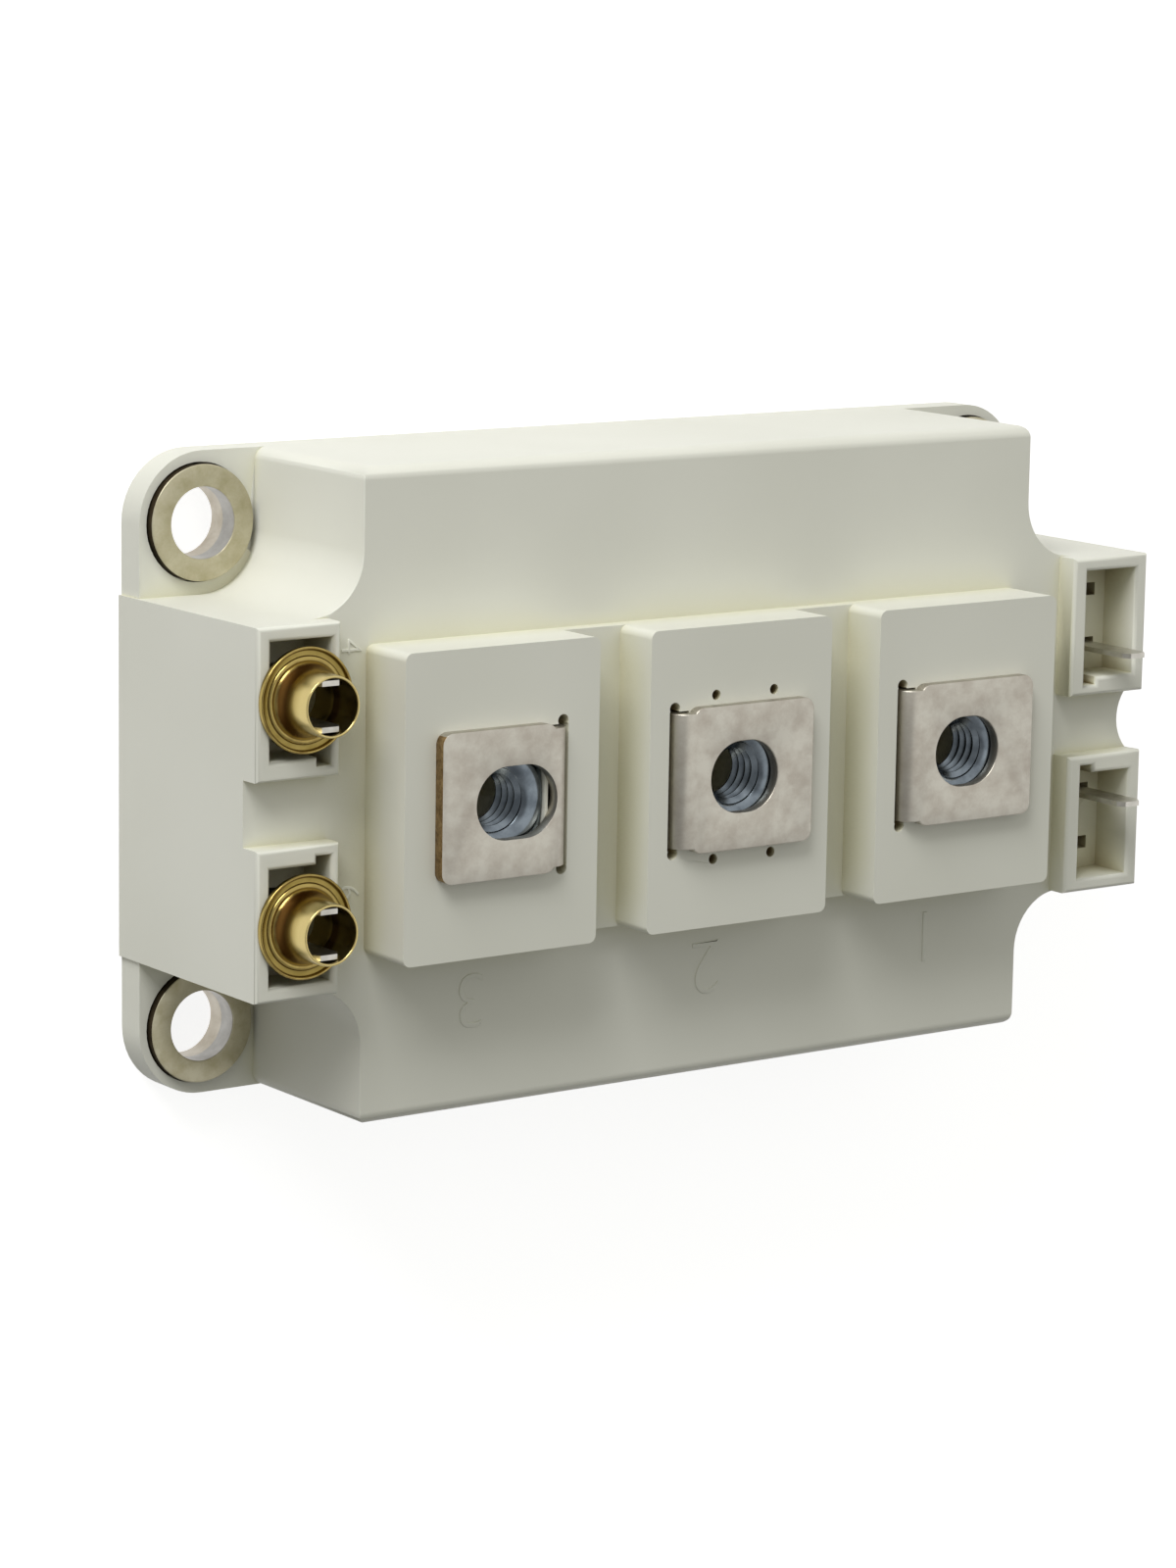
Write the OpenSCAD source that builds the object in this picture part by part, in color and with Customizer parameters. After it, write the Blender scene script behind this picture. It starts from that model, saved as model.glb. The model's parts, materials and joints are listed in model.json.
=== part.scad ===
// Half-bridge power module of the 62 mm class: an ivory moulded housing on a plated copper
// baseplate, three M6 screw terminals in a row and four small control sockets at its ends.
// Millimetres. The origin is the centre of the baseplate's underside, +Z towards the terminals,
// X along the length with the control end at +X.

/* [Package] */
// Overall length of the housing
base_l = 106.4; // [104:0.1:110]
// Overall width of the housing
base_w = 61.4; // [60:0.1:64]
// Height of the terminal faces above the baseplate's underside
terminal_z = 30; // [29:0.1:31.5]
// Height of the housing's flat roof
roof_z = 22.2; // [21.5:0.1:23]
// Height of the control sockets' rims
socket_z = 24.6; // [24.2:0.1:25.2]
// Wall thickness of the moulding
wall = 2.2; // [1.8:0.1:2.6]

/* [Ears and baseplate] */
// Thickness of the mounting ears
ear_z = 3.3; // [3:0.1:3.6]
// Radius of the ears' outer corners
ear_r = 6.7; // [6.5:0.1:7]
// Thickness of the copper baseplate
plate_t = 2; // [1.6:0.1:2.2]
// Width of the moulded skirt that wraps the baseplate's edge
skirt = 1.2; // [1:0.1:1.4]
// Spacing of the mounting holes along X
hole_pitch_x = 93; // [92:0.1:94]
// Spacing of the mounting holes along Y
hole_pitch_y = 48; // [47.5:0.1:48.5]
// Diameter of the mounting holes
hole_d = 6.8; // [6.4:0.1:7]
// Outer diameter of the metal rings round the mounting holes
ring_d = 11; // [10.6:0.1:11.6]
// Height of the rings' faces
ring_z = 4.1; // [3.9:0.1:4.8]

/* [Terminals] */
// Spacing of the screw terminals
terminal_pitch = 27.6; // [27:0.1:28]
// Place of the middle terminal along X
terminal_x = 2.1; // [1.6:0.1:2.4]
// Thickness of the terminal strips
strip_t = 1.2; // [1:0.1:1.4]
// Width of the terminal faces along Y
strip_w = 14; // [13.5:0.1:14.5]
// Length of the raised pedestals along Y
pedestal_w = 29; // [28:0.5:30]

/* [Control sockets] */
// Inner edge of the front sockets, measured from the middle of the module
socket_x = 44.3; // [44:0.1:44.6]
// Inner edge of the rear sockets, measured from the middle of the module
rear_socket_x = 43.4; // [43.2:0.1:44.4]
// Distance of each socket's middle from the centre line
socket_y = 10.4; // [10.2:0.1:10.6]
// Distance of the front control tabs from their socket's middle
tab_offset = 2.1; // [2:0.05:2.1]
// Distance of the rear control tabs from their socket's middle
rear_tab_offset = 2.8; // [2.4:0.1:3.4]
// Width of the control tabs
tab_w = 2.8; // [2.6:0.1:2.8]
// Thickness of the control tabs
tab_t = 0.5; // [0.4:0.05:0.6]

/* [Hidden] */
$fn = 64;
eps = 0.01;

// Body of the housing: end walls, side blocks that carry the sockets, blends between them
front_x = 40.4;
rear_x = -39;
half_w = base_w / 2;
half_l = base_l / 2;
block_y = 17.2;
blend_r = 5.8;
edge_r = 1.2;
ear_inset = 0.3;
roof_t = 2.2;
ring_gap = 0.15;

// Finger notch down the rear end, between the sockets, and the wall behind it
notch_r = 4.5;
notch_x = -56.3;
notch_wall = 1.6;

// Pedestals and the low plinth between them
pedestal_z = terminal_z - strip_t;
plinth_z = roof_z + 1.6;
pedestal_x = [[-37.3, -14.9], [-8.9, 12.6], [18.5, 40.1]];
pedestal_r = 0.8;

// Terminal places, hole lengths and offsets, legs: [far end, leg face] from the nut's axis
nut_x = [terminal_x - terminal_pitch, terminal_x, terminal_x + terminal_pitch];
strip_far = [-8.1, -8.1, 7.05];
strip_leg = [7.85, 7.85, -7.3];
strip_hole_l = [7.9, 7.9, 9];
strip_hole_x = [0.2, 0.1, -1.2];
strip_hole_w = 6.9;
strip_corner_r = 1.1;
strip_foot_x = [-23.4, 8, 19.2];
link_x = [-10, -6.2];
link_w = 7;
bend_r = 1.7;
leg_w = 13;
foot_w = 10;
slot_gap = 0.4;
slot_play = 0.15;
slot_relief_d = 1.2;
slot_from_z = roof_z - 6;
slot_h = terminal_z - slot_from_z;

// Nuts: M6, in hexagonal wells with a blind screw space below
nut_af = 10;
nut_h = 5;
nut_play = 0.2;
thread_d = 5;
screw_space_d = 7.4;
screw_space_h = 5;
boss_d = 15.6;

// Sockets
recess_x = [45.2, 51.7];
recess_l = 10.9;
recess_floor_z = 19.8;
key_x = 1.5;
key_l = 0.8;
socket_w = 14.1;
rim_y = block_y - socket_w / 2;
bay_z = 17.6;
bay_y = 15.4;
tab_x = 48.25;
tab_top_z = 29;
tab_arm_z = [8, 10.8];
tab_foot_x = 32.6;
tab_foot_w = 1.6;
tab_tip = [0.5, 0.8];
tab_slot = [3.3, 1.3, 8];

// Shorting eyelets: a tube flaring into a flange with a bead and a turned-up lip
eyelet_d = 9.8;
eyelet_tube_d = 6;
eyelet_wall = 0.25;
eyelet_h = 4.9;
eyelet_skirt_h = 2.4;
eyelet_lip_r = 0.14;
eyelet_lip_h = 0.5;
eyelet_bead_x = 3.75;
eyelet_bead_r = 0.35;
eyelet_flare_r = 3;
eyelet_flare_z = 2.2;

// Inside: ceramic substrates clad with copper, chips and bond wires
ceramic_l = 34;
ceramic_w = 51;
ceramic_t = 0.63;
copper_t = 0.3;
substrate_x = [-18, 18.5];
track_margin = 1;
track_gap = 1.5;
collector_x = -3;
chip_x = 6.6;
wire_x = 5.1;
igbt_side = 11;
igbt_y = 10;
diode_side = 8;
diode_y = 20.2;
chip_t = 0.25;
track_z = plate_t + 2 * copper_t + ceramic_t;
chip_z = track_z + chip_t;
wire_d = 0.4;
wire_span = 11;
wire_rise = 2.2;
wires_per_chip = 5;
wire_pitch = 1.5;
wire_foot = [1, 0.5, 0.25];

// Rectangle centred on the origin with exact round corners
module round_rect(l, w, r) {
    square([l - 2 * r, w], center = true);
    square([l, w - 2 * r], center = true);
    for (sx = [-1, 1], sy = [-1, 1])
        translate([sx * (l / 2 - r), sy * (w / 2 - r)]) circle(r);
}

// Slot with round ends, its length along X, end to end
module obround(l, w) {
    square([l - w, w], center = true);
    for (s = [-1, 1]) translate([s * (l - w) / 2, 0]) circle(d = w);
}

module at_mounting_holes() {
    for (sx = [-1, 1], sy = [-1, 1])
        translate([sx * hole_pitch_x / 2, sy * hole_pitch_y / 2, 0]) children();
}

// Box between two opposite corners
module span(low, high) {
    translate(low) cube(high - low);
}

// ---- Baseplate: plated copper, its corners round the mounting holes ----
module baseplate() {
    color("#c9b9a0") difference() {
        linear_extrude(plate_t)
            round_rect(base_l - 2 * (skirt + ear_inset), base_w - 2 * skirt, ear_r - skirt);
        at_mounting_holes() translate([0, 0, -1]) cylinder(d = hole_d, h = plate_t + 2);
    }
}

// ---- Housing: one ivory moulding ----
module body_plan() {
    intersection() {
        difference() {
            square([base_l, base_w], center = true);
            for (sy = [-1, 1]) {
                ear_pocket(front_x, 1, sy);
                ear_pocket(rear_x, -1, sy);
            }
        }
        union() {
            translate([(front_x + rear_x) / 2, 0]) round_rect(front_x - rear_x, base_w, edge_r);
            square([base_l + 2, base_w - 8], center = true);
        }
    }
}

// Room over a mounting ear, its inner corner swept round the screw
module ear_pocket(x, sx, sy) {
    reach = half_l;
    scale([1, sy]) {
        translate([x + sx * (blend_r + reach / 2), block_y + reach / 2])
            square(reach, center = true);
        translate([x + sx * reach / 2, block_y + blend_r + reach / 2])
            square(reach, center = true);
        translate([x + sx * blend_r, block_y + blend_r]) circle(blend_r);
    }
}

// Section across the body: upright sides and rounded upper edges
module body_section() {
    translate([-half_w, 0]) square([base_w, roof_z - edge_r]);
    translate([-half_w + edge_r, 0]) square([base_w - 2 * edge_r, roof_z]);
    for (s = [-1, 1]) translate([s * (half_w - edge_r), roof_z - edge_r]) circle(edge_r);
}

module body_shell() {
    intersection() {
        linear_extrude(roof_z) body_plan();
        rotate([90, 0, 90]) linear_extrude(base_l + 2, center = true) body_section();
    }
}

module ears() {
    linear_extrude(ear_z) round_rect(base_l - 2 * ear_inset, base_w, ear_r);
}

module pedestals() {
    for (x = pedestal_x)
        translate([(x[0] + x[1]) / 2, 0, roof_z - 1])
            linear_extrude(pedestal_z - roof_z + 1)
                round_rect(x[1] - x[0], pedestal_w, pedestal_r);
    span([pedestal_x[0][1] - 2, -pedestal_w / 2, roof_z - 1],
        [pedestal_x[2][0] + 2, pedestal_w / 2, plinth_z]);
}

module socket_rim(sx, sy) {
    inner_x = sx > 0 ? socket_x : rear_socket_x;
    translate([sx * (inner_x + half_l) / 2, sy * rim_y, roof_z - 1])
        linear_extrude(socket_z - roof_z + 1)
            square([half_l - inner_x, socket_w], center = true);
}

// Space for the plug, its key, and the two slots in the socket's floor
module socket_space(sx, sy) {
    slot_y = sx > 0 ? tab_offset : rear_tab_offset;
    scale([sx, sy, 1]) {
        span([recess_x[0], socket_y - recess_l / 2, recess_floor_z],
            [recess_x[1], socket_y + recess_l / 2, socket_z + 1]);
        span([recess_x[0], socket_y - recess_l / 2 - key_l, recess_floor_z],
            [recess_x[0] + key_x, socket_y, socket_z + 1]);
        for (s = [-1, 1])
            translate([tab_x, socket_y + s * slot_y, recess_floor_z]) cube(tab_slot, center = true);
    }
}

// The hollow inside: one room under the roof and a bay under each pair of sockets
module room() {
    span([rear_x + wall, -half_w + wall, plate_t - eps],
        [front_x - wall, half_w - wall, roof_z - roof_t]);
    for (sx = [-1, 1])
        scale([sx, 1, 1]) span([0, -bay_y, plate_t - eps], [half_l - wall, bay_y, bay_z]);
    for (x = pedestal_x)
        span([x[0] + wall, -pedestal_w / 2 + wall, roof_z - roof_t - 1],
            [x[1] - wall, pedestal_w / 2 - wall, pedestal_z - roof_t]);
}

module rear_notch(r, low, high) {
    translate([notch_x, 0, low]) cylinder(r = r, h = high - low);
}

module nut_boss(x) {
    translate([x, 0, pedestal_z - roof_t - nut_h - screw_space_h])
        cylinder(d = boss_d, h = nut_h + screw_space_h + roof_t);
}

module nut_well(x) {
    translate([x, 0, pedestal_z - nut_h - nut_play]) rotate([0, 0, 30])
        cylinder(d = (nut_af + nut_play) / cos(30), h = nut_h + 2, $fn = 6);
    translate([x, 0, pedestal_z - nut_h - screw_space_h])
        cylinder(d = screw_space_d, h = screw_space_h + 1);
}

// Slot that lets a strip's bend and leg through the pedestal, with round relief at its corners
module strip_slot(i) {
    s = sign(strip_leg[i]);
    inner = nut_x[i] + strip_leg[i] - s * (bend_r + slot_play);
    outer = nut_x[i] + strip_leg[i] + s * slot_gap;
    side = leg_w / 2 + slot_play;
    span([min(inner, outer), -side, slot_from_z], [max(inner, outer), side, terminal_z]);
    for (sy = [-1, 1])
        translate([outer - s * slot_relief_d / 2, sy * (side + slot_relief_d / 4), slot_from_z])
            cylinder(d = slot_relief_d, h = slot_h);
}

// Blind core pin marks beside the middle terminal
module core_pin_holes() {
    pin_d = 1;
    pin_depth = 1.4;
    pin_x = [nut_x[1] - 4.1, nut_x[1] + 2.8];
    pin_y = strip_w / 2 + 0.9;
    for (x = pin_x, s = [-1, 1])
        translate([x, s * pin_y, pedestal_z - pin_depth])
            cylinder(d = pin_d, h = pin_depth + 1, $fn = 24);
}

module housing() {
    color("#e6e6dc") difference() {
        union() {
            difference() {
                union() {
                    body_shell();
                    ears();
                    pedestals();
                    for (sx = [-1, 1], sy = [-1, 1]) socket_rim(sx, sy);
                }
                room();
            }
            for (x = nut_x) nut_boss(x);
            intersection() {
                rear_notch(notch_r + notch_wall, ear_z - 1, bay_z + 1);
                span([-half_l + wall / 2, -bay_y, 0], [0, bay_y, roof_z]);
            }
        }
        rear_notch(notch_r, ear_z, roof_z + 1);
        translate([0, 0, -1]) linear_extrude(plate_t + 1)
            round_rect(base_l - 2 * (skirt + ear_inset), base_w - 2 * skirt, ear_r - skirt);
        at_mounting_holes() translate([0, 0, plate_t]) cylinder(d = ring_d + 2 * ring_gap, h = ear_z);
        for (sx = [-1, 1], sy = [-1, 1]) socket_space(sx, sy);
        for (i = [0 : 2]) {
            nut_well(nut_x[i]);
            strip_slot(i);
        }
        core_pin_holes();
    }
}

// ---- Mounting rings: plated steel, set in the ears on top of the baseplate ----
module mount_ring(sx, sy) {
    ring_edge = 0.3;
    color("#b9b094") translate([sx * hole_pitch_x / 2, sy * hole_pitch_y / 2, 0])
        rotate_extrude() polygon([
            [hole_d / 2, plate_t], [ring_d / 2, plate_t],
            [ring_d / 2, ring_z - ring_edge], [ring_d / 2 - ring_edge, ring_z],
            [hole_d / 2 + ring_edge, ring_z], [hole_d / 2, ring_z - ring_edge]]);
}

// ---- Terminal strips: plated copper, bent over the pedestal and down to the tracks ----
module strip_side(i) {
    s = sign(strip_leg[i]);
    leg = nut_x[i] + strip_leg[i];
    far = nut_x[i] + strip_far[i];
    bend = leg - s * bend_r;
    translate([min(far, bend), pedestal_z]) square([abs(bend - far), strip_t]);
}

// The quarter turn from the face into the leg, lapped onto the face by its corner radius
module strip_bend(i) {
    s = sign(strip_leg[i]);
    bend = nut_x[i] + strip_leg[i] - s * bend_r;
    translate([min(bend, bend - s * strip_corner_r), pedestal_z]) square([strip_corner_r, strip_t]);
    translate([bend, terminal_z - bend_r]) intersection() {
        difference() {
            circle(bend_r);
            circle(bend_r - strip_t);
        }
        translate([min(0, s * bend_r), 0]) square(bend_r);
    }
}

module strip_leg_side(i, jog_z) {
    s = sign(strip_leg[i]);
    leg = nut_x[i] + strip_leg[i];
    translate([min(leg, leg - s * strip_t), jog_z])
        square([strip_t, terminal_z - bend_r - jog_z]);
}

// Upright sheet, drawn in X and Z and given its width along Y
module sheet_xz(w) {
    rotate([90, 0, 0]) linear_extrude(w, center = true) children();
}

module terminal_face(i) {
    face_end = strip_leg[i] - sign(strip_leg[i]) * bend_r;
    intersection() {
        sheet_xz(strip_w) strip_side(i);
        translate([nut_x[i] + (strip_far[i] + face_end) / 2, 0, roof_z]) linear_extrude(terminal_z)
            round_rect(abs(strip_far[i] - face_end), strip_w, strip_corner_r);
    }
}

module terminal_strip(i) {
    jog_z = 6;
    foot_l = 4.2;
    leg = nut_x[i] + strip_leg[i];
    leg_low = sign(strip_leg[i]) > 0 ? leg - strip_t : leg;
    foot_from = strip_foot_x[i];
    color("#cfc6c2") difference() {
        union() {
            terminal_face(i);
            sheet_xz(leg_w) strip_bend(i);
            sheet_xz(leg_w) strip_leg_side(i, slot_from_z + 1);
            sheet_xz(foot_w) strip_leg_side(i, jog_z);
            span([foot_from - strip_t, -foot_w / 2, jog_z], [leg_low + strip_t, foot_w / 2, jog_z + strip_t]);
            span([foot_from - strip_t, -foot_w / 2, track_z], [foot_from, foot_w / 2, jog_z + strip_t]);
            span([foot_from - foot_l, -foot_w / 2, track_z], [foot_from, foot_w / 2, track_z + strip_t]);
            if (i == 1) {
                span([link_x[1] - strip_t, -link_w / 2, track_z + strip_t],
                    [foot_from - foot_l + strip_t, link_w / 2, track_z + 2 * strip_t]);
                span([link_x[0], -link_w / 2, track_z], [link_x[1], link_w / 2, track_z + strip_t]);
                span([foot_from - foot_l, -link_w / 2, track_z],
                    [foot_from - foot_l + strip_t, link_w / 2, track_z + 2 * strip_t]);
            }
        }
        translate([nut_x[i] + strip_hole_x[i], 0, pedestal_z - 1])
            linear_extrude(strip_t + 2) obround(strip_hole_l[i], strip_hole_w);
    }
}

// ---- Terminal nuts: zinc-plated M6, loose in their wells under the strips ----
module terminal_nut(i) {
    color("#b8bcc0") translate([nut_x[i], 0, pedestal_z - nut_h - nut_play]) difference() {
        intersection() {
            rotate([0, 0, 30]) cylinder(d = nut_af / cos(30), h = nut_h, $fn = 6);
            nut_chamfers();
        }
        translate([0, 0, -1]) cylinder(d = thread_d, h = nut_h + 2);
    }
}

// Turned solid that takes the corners off both faces of the nut
module nut_chamfers() {
    corner = nut_af / cos(30) / 2;
    face = nut_af / 2 * 0.96;
    rise = (corner - face) * 0.5;
    rotate_extrude() polygon([[0, 0], [face, 0], [corner, rise],
        [corner, nut_h - rise], [face, nut_h], [0, nut_h]]);
}

// ---- Control tabs: tinned brass, stamped with an arm and a foot in one plane ----
module control_tab(sx, y) {
    low = tab_x - tab_w / 2;
    high = tab_x + tab_w / 2;
    shoulder_z = tab_top_z - tab_tip[1];
    color("#c4b58a") translate([0, y, 0]) rotate([90, 0, 0])
        linear_extrude(tab_t, center = true) scale([sx, 1]) {
            polygon([[low, tab_arm_z[0]], [high, tab_arm_z[0]], [high, shoulder_z],
                [high - tab_tip[0], tab_top_z], [low + tab_tip[0], tab_top_z], [low, shoulder_z]]);
            translate([tab_foot_x, tab_arm_z[0]])
                square([tab_x - tab_foot_x, tab_arm_z[1] - tab_arm_z[0]]);
            translate([tab_foot_x, track_z]) square([tab_foot_w, tab_arm_z[1] - track_z]);
        }
}

// ---- Shorting eyelets: brass, flange on the socket's rim, tube gripping both tabs ----
module eyelet_outline() {
    tube_r = eyelet_tube_d / 2;
    lip_x = eyelet_d / 2 - 2 * eyelet_lip_r;
    square([tube_r, eyelet_h]);
    difference() {
        square([eyelet_bead_x, eyelet_flare_z]);
        translate([tube_r + eyelet_flare_r, eyelet_flare_z]) circle(eyelet_flare_r);
    }
    square([lip_x + eyelet_lip_r, eyelet_wall]);
    intersection() {
        translate([eyelet_bead_x, eyelet_wall]) circle(eyelet_bead_r);
        square(eyelet_d);
    }
    translate([lip_x, 0]) square([2 * eyelet_lip_r, eyelet_lip_h]);
    translate([lip_x + eyelet_lip_r, eyelet_lip_h]) circle(eyelet_lip_r);
}

module shorting_eyelet(sy) {
    bore_r = eyelet_tube_d / 2 - eyelet_wall;
    color("#b08d3c") translate([tab_x, sy * socket_y, socket_z]) rotate_extrude() difference() {
        union() {
            eyelet_outline();
            translate([0, -eyelet_skirt_h]) square([eyelet_tube_d / 2, eyelet_skirt_h]);
        }
        translate([-eps, -eyelet_skirt_h - 1]) square([bore_r + eps, eyelet_skirt_h + eyelet_h + 2]);
    }
}

// ---- Substrates: copper, ceramic, copper ----
module backing_copper(i) {
    color("#c87f52") translate([substrate_x[i], 0, plate_t + copper_t / 2])
        cube([ceramic_l - 2 * track_margin, ceramic_w - 2 * track_margin, copper_t], center = true);
}

module ceramic(i) {
    color("#f2f0ea") translate([substrate_x[i], 0, plate_t + copper_t + ceramic_t / 2])
        cube([ceramic_l, ceramic_w, ceramic_t], center = true);
}

// Three islands: emitter on the -X side, collector under the chips, gate strip on the +X side
module track_copper(i) {
    low = -ceramic_l / 2 + track_margin;
    high = -low;
    side = ceramic_w / 2 - track_margin;
    gate_l = 7;
    color("#c87f52") translate([substrate_x[i], 0, track_z - copper_t]) {
        span([collector_x, -side, 0], [high - gate_l * 0.5, side, copper_t]);
        span([high - gate_l * 0.5 + track_gap, -side, 0], [high, side, copper_t]);
        span([low, -side, 0], [collector_x - track_gap, side, copper_t]);
    }
}

module igbt_chip(i, sy) {
    color("#6f7478") translate([substrate_x[i] + chip_x, sy * igbt_y, track_z + chip_t / 2])
        cube([igbt_side, igbt_side, chip_t], center = true);
}

module diode_chip(i, sy) {
    color("#7b8086") translate([substrate_x[i] + chip_x, sy * diode_y, track_z + chip_t / 2])
        cube([diode_side, diode_side, chip_t], center = true);
}

// One bond wire: a flat foot on the chip, an arc, and a flat foot on the track
module bond_wire(x, y) {
    arc_r = (pow(wire_span / 2, 2) + pow(wire_rise, 2)) / (2 * wire_rise);
    arc_half = asin(wire_span / 2 / arc_r);
    centre_z = chip_z + wire_rise - arc_r + wire_d / 2;
    translate([x - wire_span / 2, y, centre_z]) rotate([90, 0, 0]) rotate([0, 0, 90 - arc_half])
        rotate_extrude(angle = 2 * arc_half) translate([arc_r, 0]) circle(d = wire_d, $fn = 16);
    span([x - wire_foot[0] / 2, y - wire_foot[1] / 2, chip_z],
        [x + wire_foot[0] / 2, y + wire_foot[1] / 2, chip_z + wire_foot[2] + wire_d / 2]);
    span([x - wire_span - wire_foot[0] / 2, y - wire_foot[1] / 2, track_z],
        [x - wire_span + wire_foot[0] / 2, y + wire_foot[1] / 2, chip_z + wire_foot[2] + wire_d / 2]);
}

module bond_wires(i) {
    color("#d8d8d6") for (sy = [-1, 1], k = [0 : wires_per_chip - 1])
        bond_wire(substrate_x[i] + wire_x, sy * (igbt_y + (k - (wires_per_chip - 1) / 2) * wire_pitch));
}

baseplate();
housing();
mount_ring(-1, -1);  // mount_ring_1
mount_ring(1, -1);  // mount_ring_2
mount_ring(1, 1);  // mount_ring_3
mount_ring(-1, 1);  // mount_ring_4
terminal_strip(0);  // terminal_strip_1
terminal_strip(1);  // terminal_strip_2
terminal_strip(2);  // terminal_strip_3
terminal_nut(0);  // terminal_nut_1
terminal_nut(1);  // terminal_nut_2
terminal_nut(2);  // terminal_nut_3
control_tab(1, -socket_y - tab_offset);  // control_tab_1
control_tab(1, -socket_y + tab_offset);  // control_tab_2
control_tab(1, socket_y - tab_offset);  // control_tab_3
control_tab(1, socket_y + tab_offset);  // control_tab_4
control_tab(-1, -socket_y + rear_tab_offset);  // control_tab_5
control_tab(-1, socket_y - rear_tab_offset);  // control_tab_6
shorting_eyelet(-1);  // shorting_eyelet_1
shorting_eyelet(1);  // shorting_eyelet_2
ceramic(0);  // ceramic_1
ceramic(1);  // ceramic_2
backing_copper(0);  // backing_copper_1
backing_copper(1);  // backing_copper_2
track_copper(0);  // track_copper_1
track_copper(1);  // track_copper_2
igbt_chip(0, -1);  // igbt_chip_1
igbt_chip(0, 1);  // igbt_chip_2
igbt_chip(1, -1);  // igbt_chip_3
igbt_chip(1, 1);  // igbt_chip_4
diode_chip(0, -1);  // diode_chip_1
diode_chip(0, 1);  // diode_chip_2
diode_chip(1, -1);  // diode_chip_3
diode_chip(1, 1);  // diode_chip_4
bond_wires(0);  // bond_wires_1
bond_wires(1);  // bond_wires_2
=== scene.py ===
import json
import math
import bmesh
import bpy
from mathutils import Matrix, Vector
from mathutils.bvhtree import BVHTree


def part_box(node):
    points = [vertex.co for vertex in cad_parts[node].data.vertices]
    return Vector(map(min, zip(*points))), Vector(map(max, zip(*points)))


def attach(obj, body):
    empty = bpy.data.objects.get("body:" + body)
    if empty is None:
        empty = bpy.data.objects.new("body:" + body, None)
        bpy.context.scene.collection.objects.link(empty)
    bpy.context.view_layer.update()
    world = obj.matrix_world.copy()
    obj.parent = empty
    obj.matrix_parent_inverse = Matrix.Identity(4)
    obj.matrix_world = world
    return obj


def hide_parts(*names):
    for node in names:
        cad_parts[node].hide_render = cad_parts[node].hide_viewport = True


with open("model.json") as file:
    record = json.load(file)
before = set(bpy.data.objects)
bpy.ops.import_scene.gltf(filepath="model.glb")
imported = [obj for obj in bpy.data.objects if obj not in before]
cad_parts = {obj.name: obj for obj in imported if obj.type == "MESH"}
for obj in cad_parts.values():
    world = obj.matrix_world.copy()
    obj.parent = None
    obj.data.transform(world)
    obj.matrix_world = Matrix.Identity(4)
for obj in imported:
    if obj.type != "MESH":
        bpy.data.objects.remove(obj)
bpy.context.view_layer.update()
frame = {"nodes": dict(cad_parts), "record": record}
nodes = frame["nodes"]


# ---- Housing ----
# One injection moulding of glass-filled PBT in ivory, glued round the baseplate. The mould was
# spark eroded, so its faces are satin with a fine orange-peel grain, and its outer edges have a
# small radius. The depths of the hollows are painted darker and browner, as painted shade.

MM = 0.001
PER_MM = 1000                       # the scale of a pattern with features 1 mm wide
WELD = 0.001 * MM                   # corners nearer to each other than this are one
FLAT_ANGLE = math.radians(0.5)      # faces that meet at less than this are one flat face
ROOF_EDGE = 0.9 * MM                # the radii of the moulding's outer edges
BODY_EDGE = 0.5 * MM
SOCKET_EDGE = 0.45 * MM
LOWER_EDGE = 0.3 * MM
CORNER_ANGLE = math.radians(35)     # an edge that turns by less belongs to a curved wall
JUST_OUTSIDE = 0.02 * MM
SAME_LEVEL = 0.1 * MM
SOCKET_RISE = 2.4 * MM              # from the roof beside a socket to the socket's rim
RIM_BAND = 0.6 * MM                 # what the rim's own radius takes up below the rim
SOCKETS_FROM = 0.83                 # the inner side of the sockets' blocks, of the half length
BLOCK_SIDE = 0.57                   # just past the blocks' outer sides, of the half width
TERMINAL_REACH = 9.5 * MM           # from a terminal's axis to the ends of its slot and pin marks
SLOT_LEVELS = (0.5, 0.7)            # the blades' slots lie between these parts of the height
SLOT_NEAR = 0.4 * MM                # from a rear blade to the outer end of its slot, at the most
SLOT_ROOM = 0.45 * MM               # how much further out that end lies than in the plain solid
FLOW_MM = 28
GRAIN_MM = 0.45
SHADE_REACH = 7 * MM                 # walls nearer than this get painted shade between them
IVORY = [(0.3, "E1E1D6"), (0.7, "E8E8DE")]
# painted shade: the less open a point of the moulding, the darker and browner its colour
HOLLOW_SHADE = [(0.04, "6C5238"), (0.18, "AA9C76"), (0.42, "F4F2E2"), (0.75, "FFFFFF")]


def linear(hex_code):
    """The linear colour of an sRGB hex value such as "E6E6DC", with full alpha."""
    def channel(text):
        value = int(text, 16) / 255
        return value / 12.92 if value <= 0.04045 else ((value + 0.055) / 1.055) ** 2.4
    return tuple(channel(hex_code[i:i + 2]) for i in (0, 2, 4)) + (1.0,)


def add_node(tree, kind, inputs=None, **settings):
    """Adds one shader node, with its settings. inputs gives an input's value or the socket it reads."""
    node = tree.nodes.new(kind)
    for name, value in settings.items():
        setattr(node, name, value)
    for name, value in (inputs or {}).items():
        if isinstance(value, bpy.types.NodeSocket):
            tree.links.new(value, node.inputs[name])
        else:
            node.inputs[name].default_value = value
    return node


def start_material(name):
    """A new material with an empty tree, and the object coordinates in metres that its patterns read."""
    material = bpy.data.materials.new(name)
    material.use_nodes = True
    material.node_tree.nodes.clear()
    place = add_node(material.node_tree, "ShaderNodeTexCoord").outputs["Object"]
    return material, material.node_tree, place


def end_material(tree, shader):
    add_node(tree, "ShaderNodeOutputMaterial", {"Surface": shader.outputs["BSDF"]})


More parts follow.
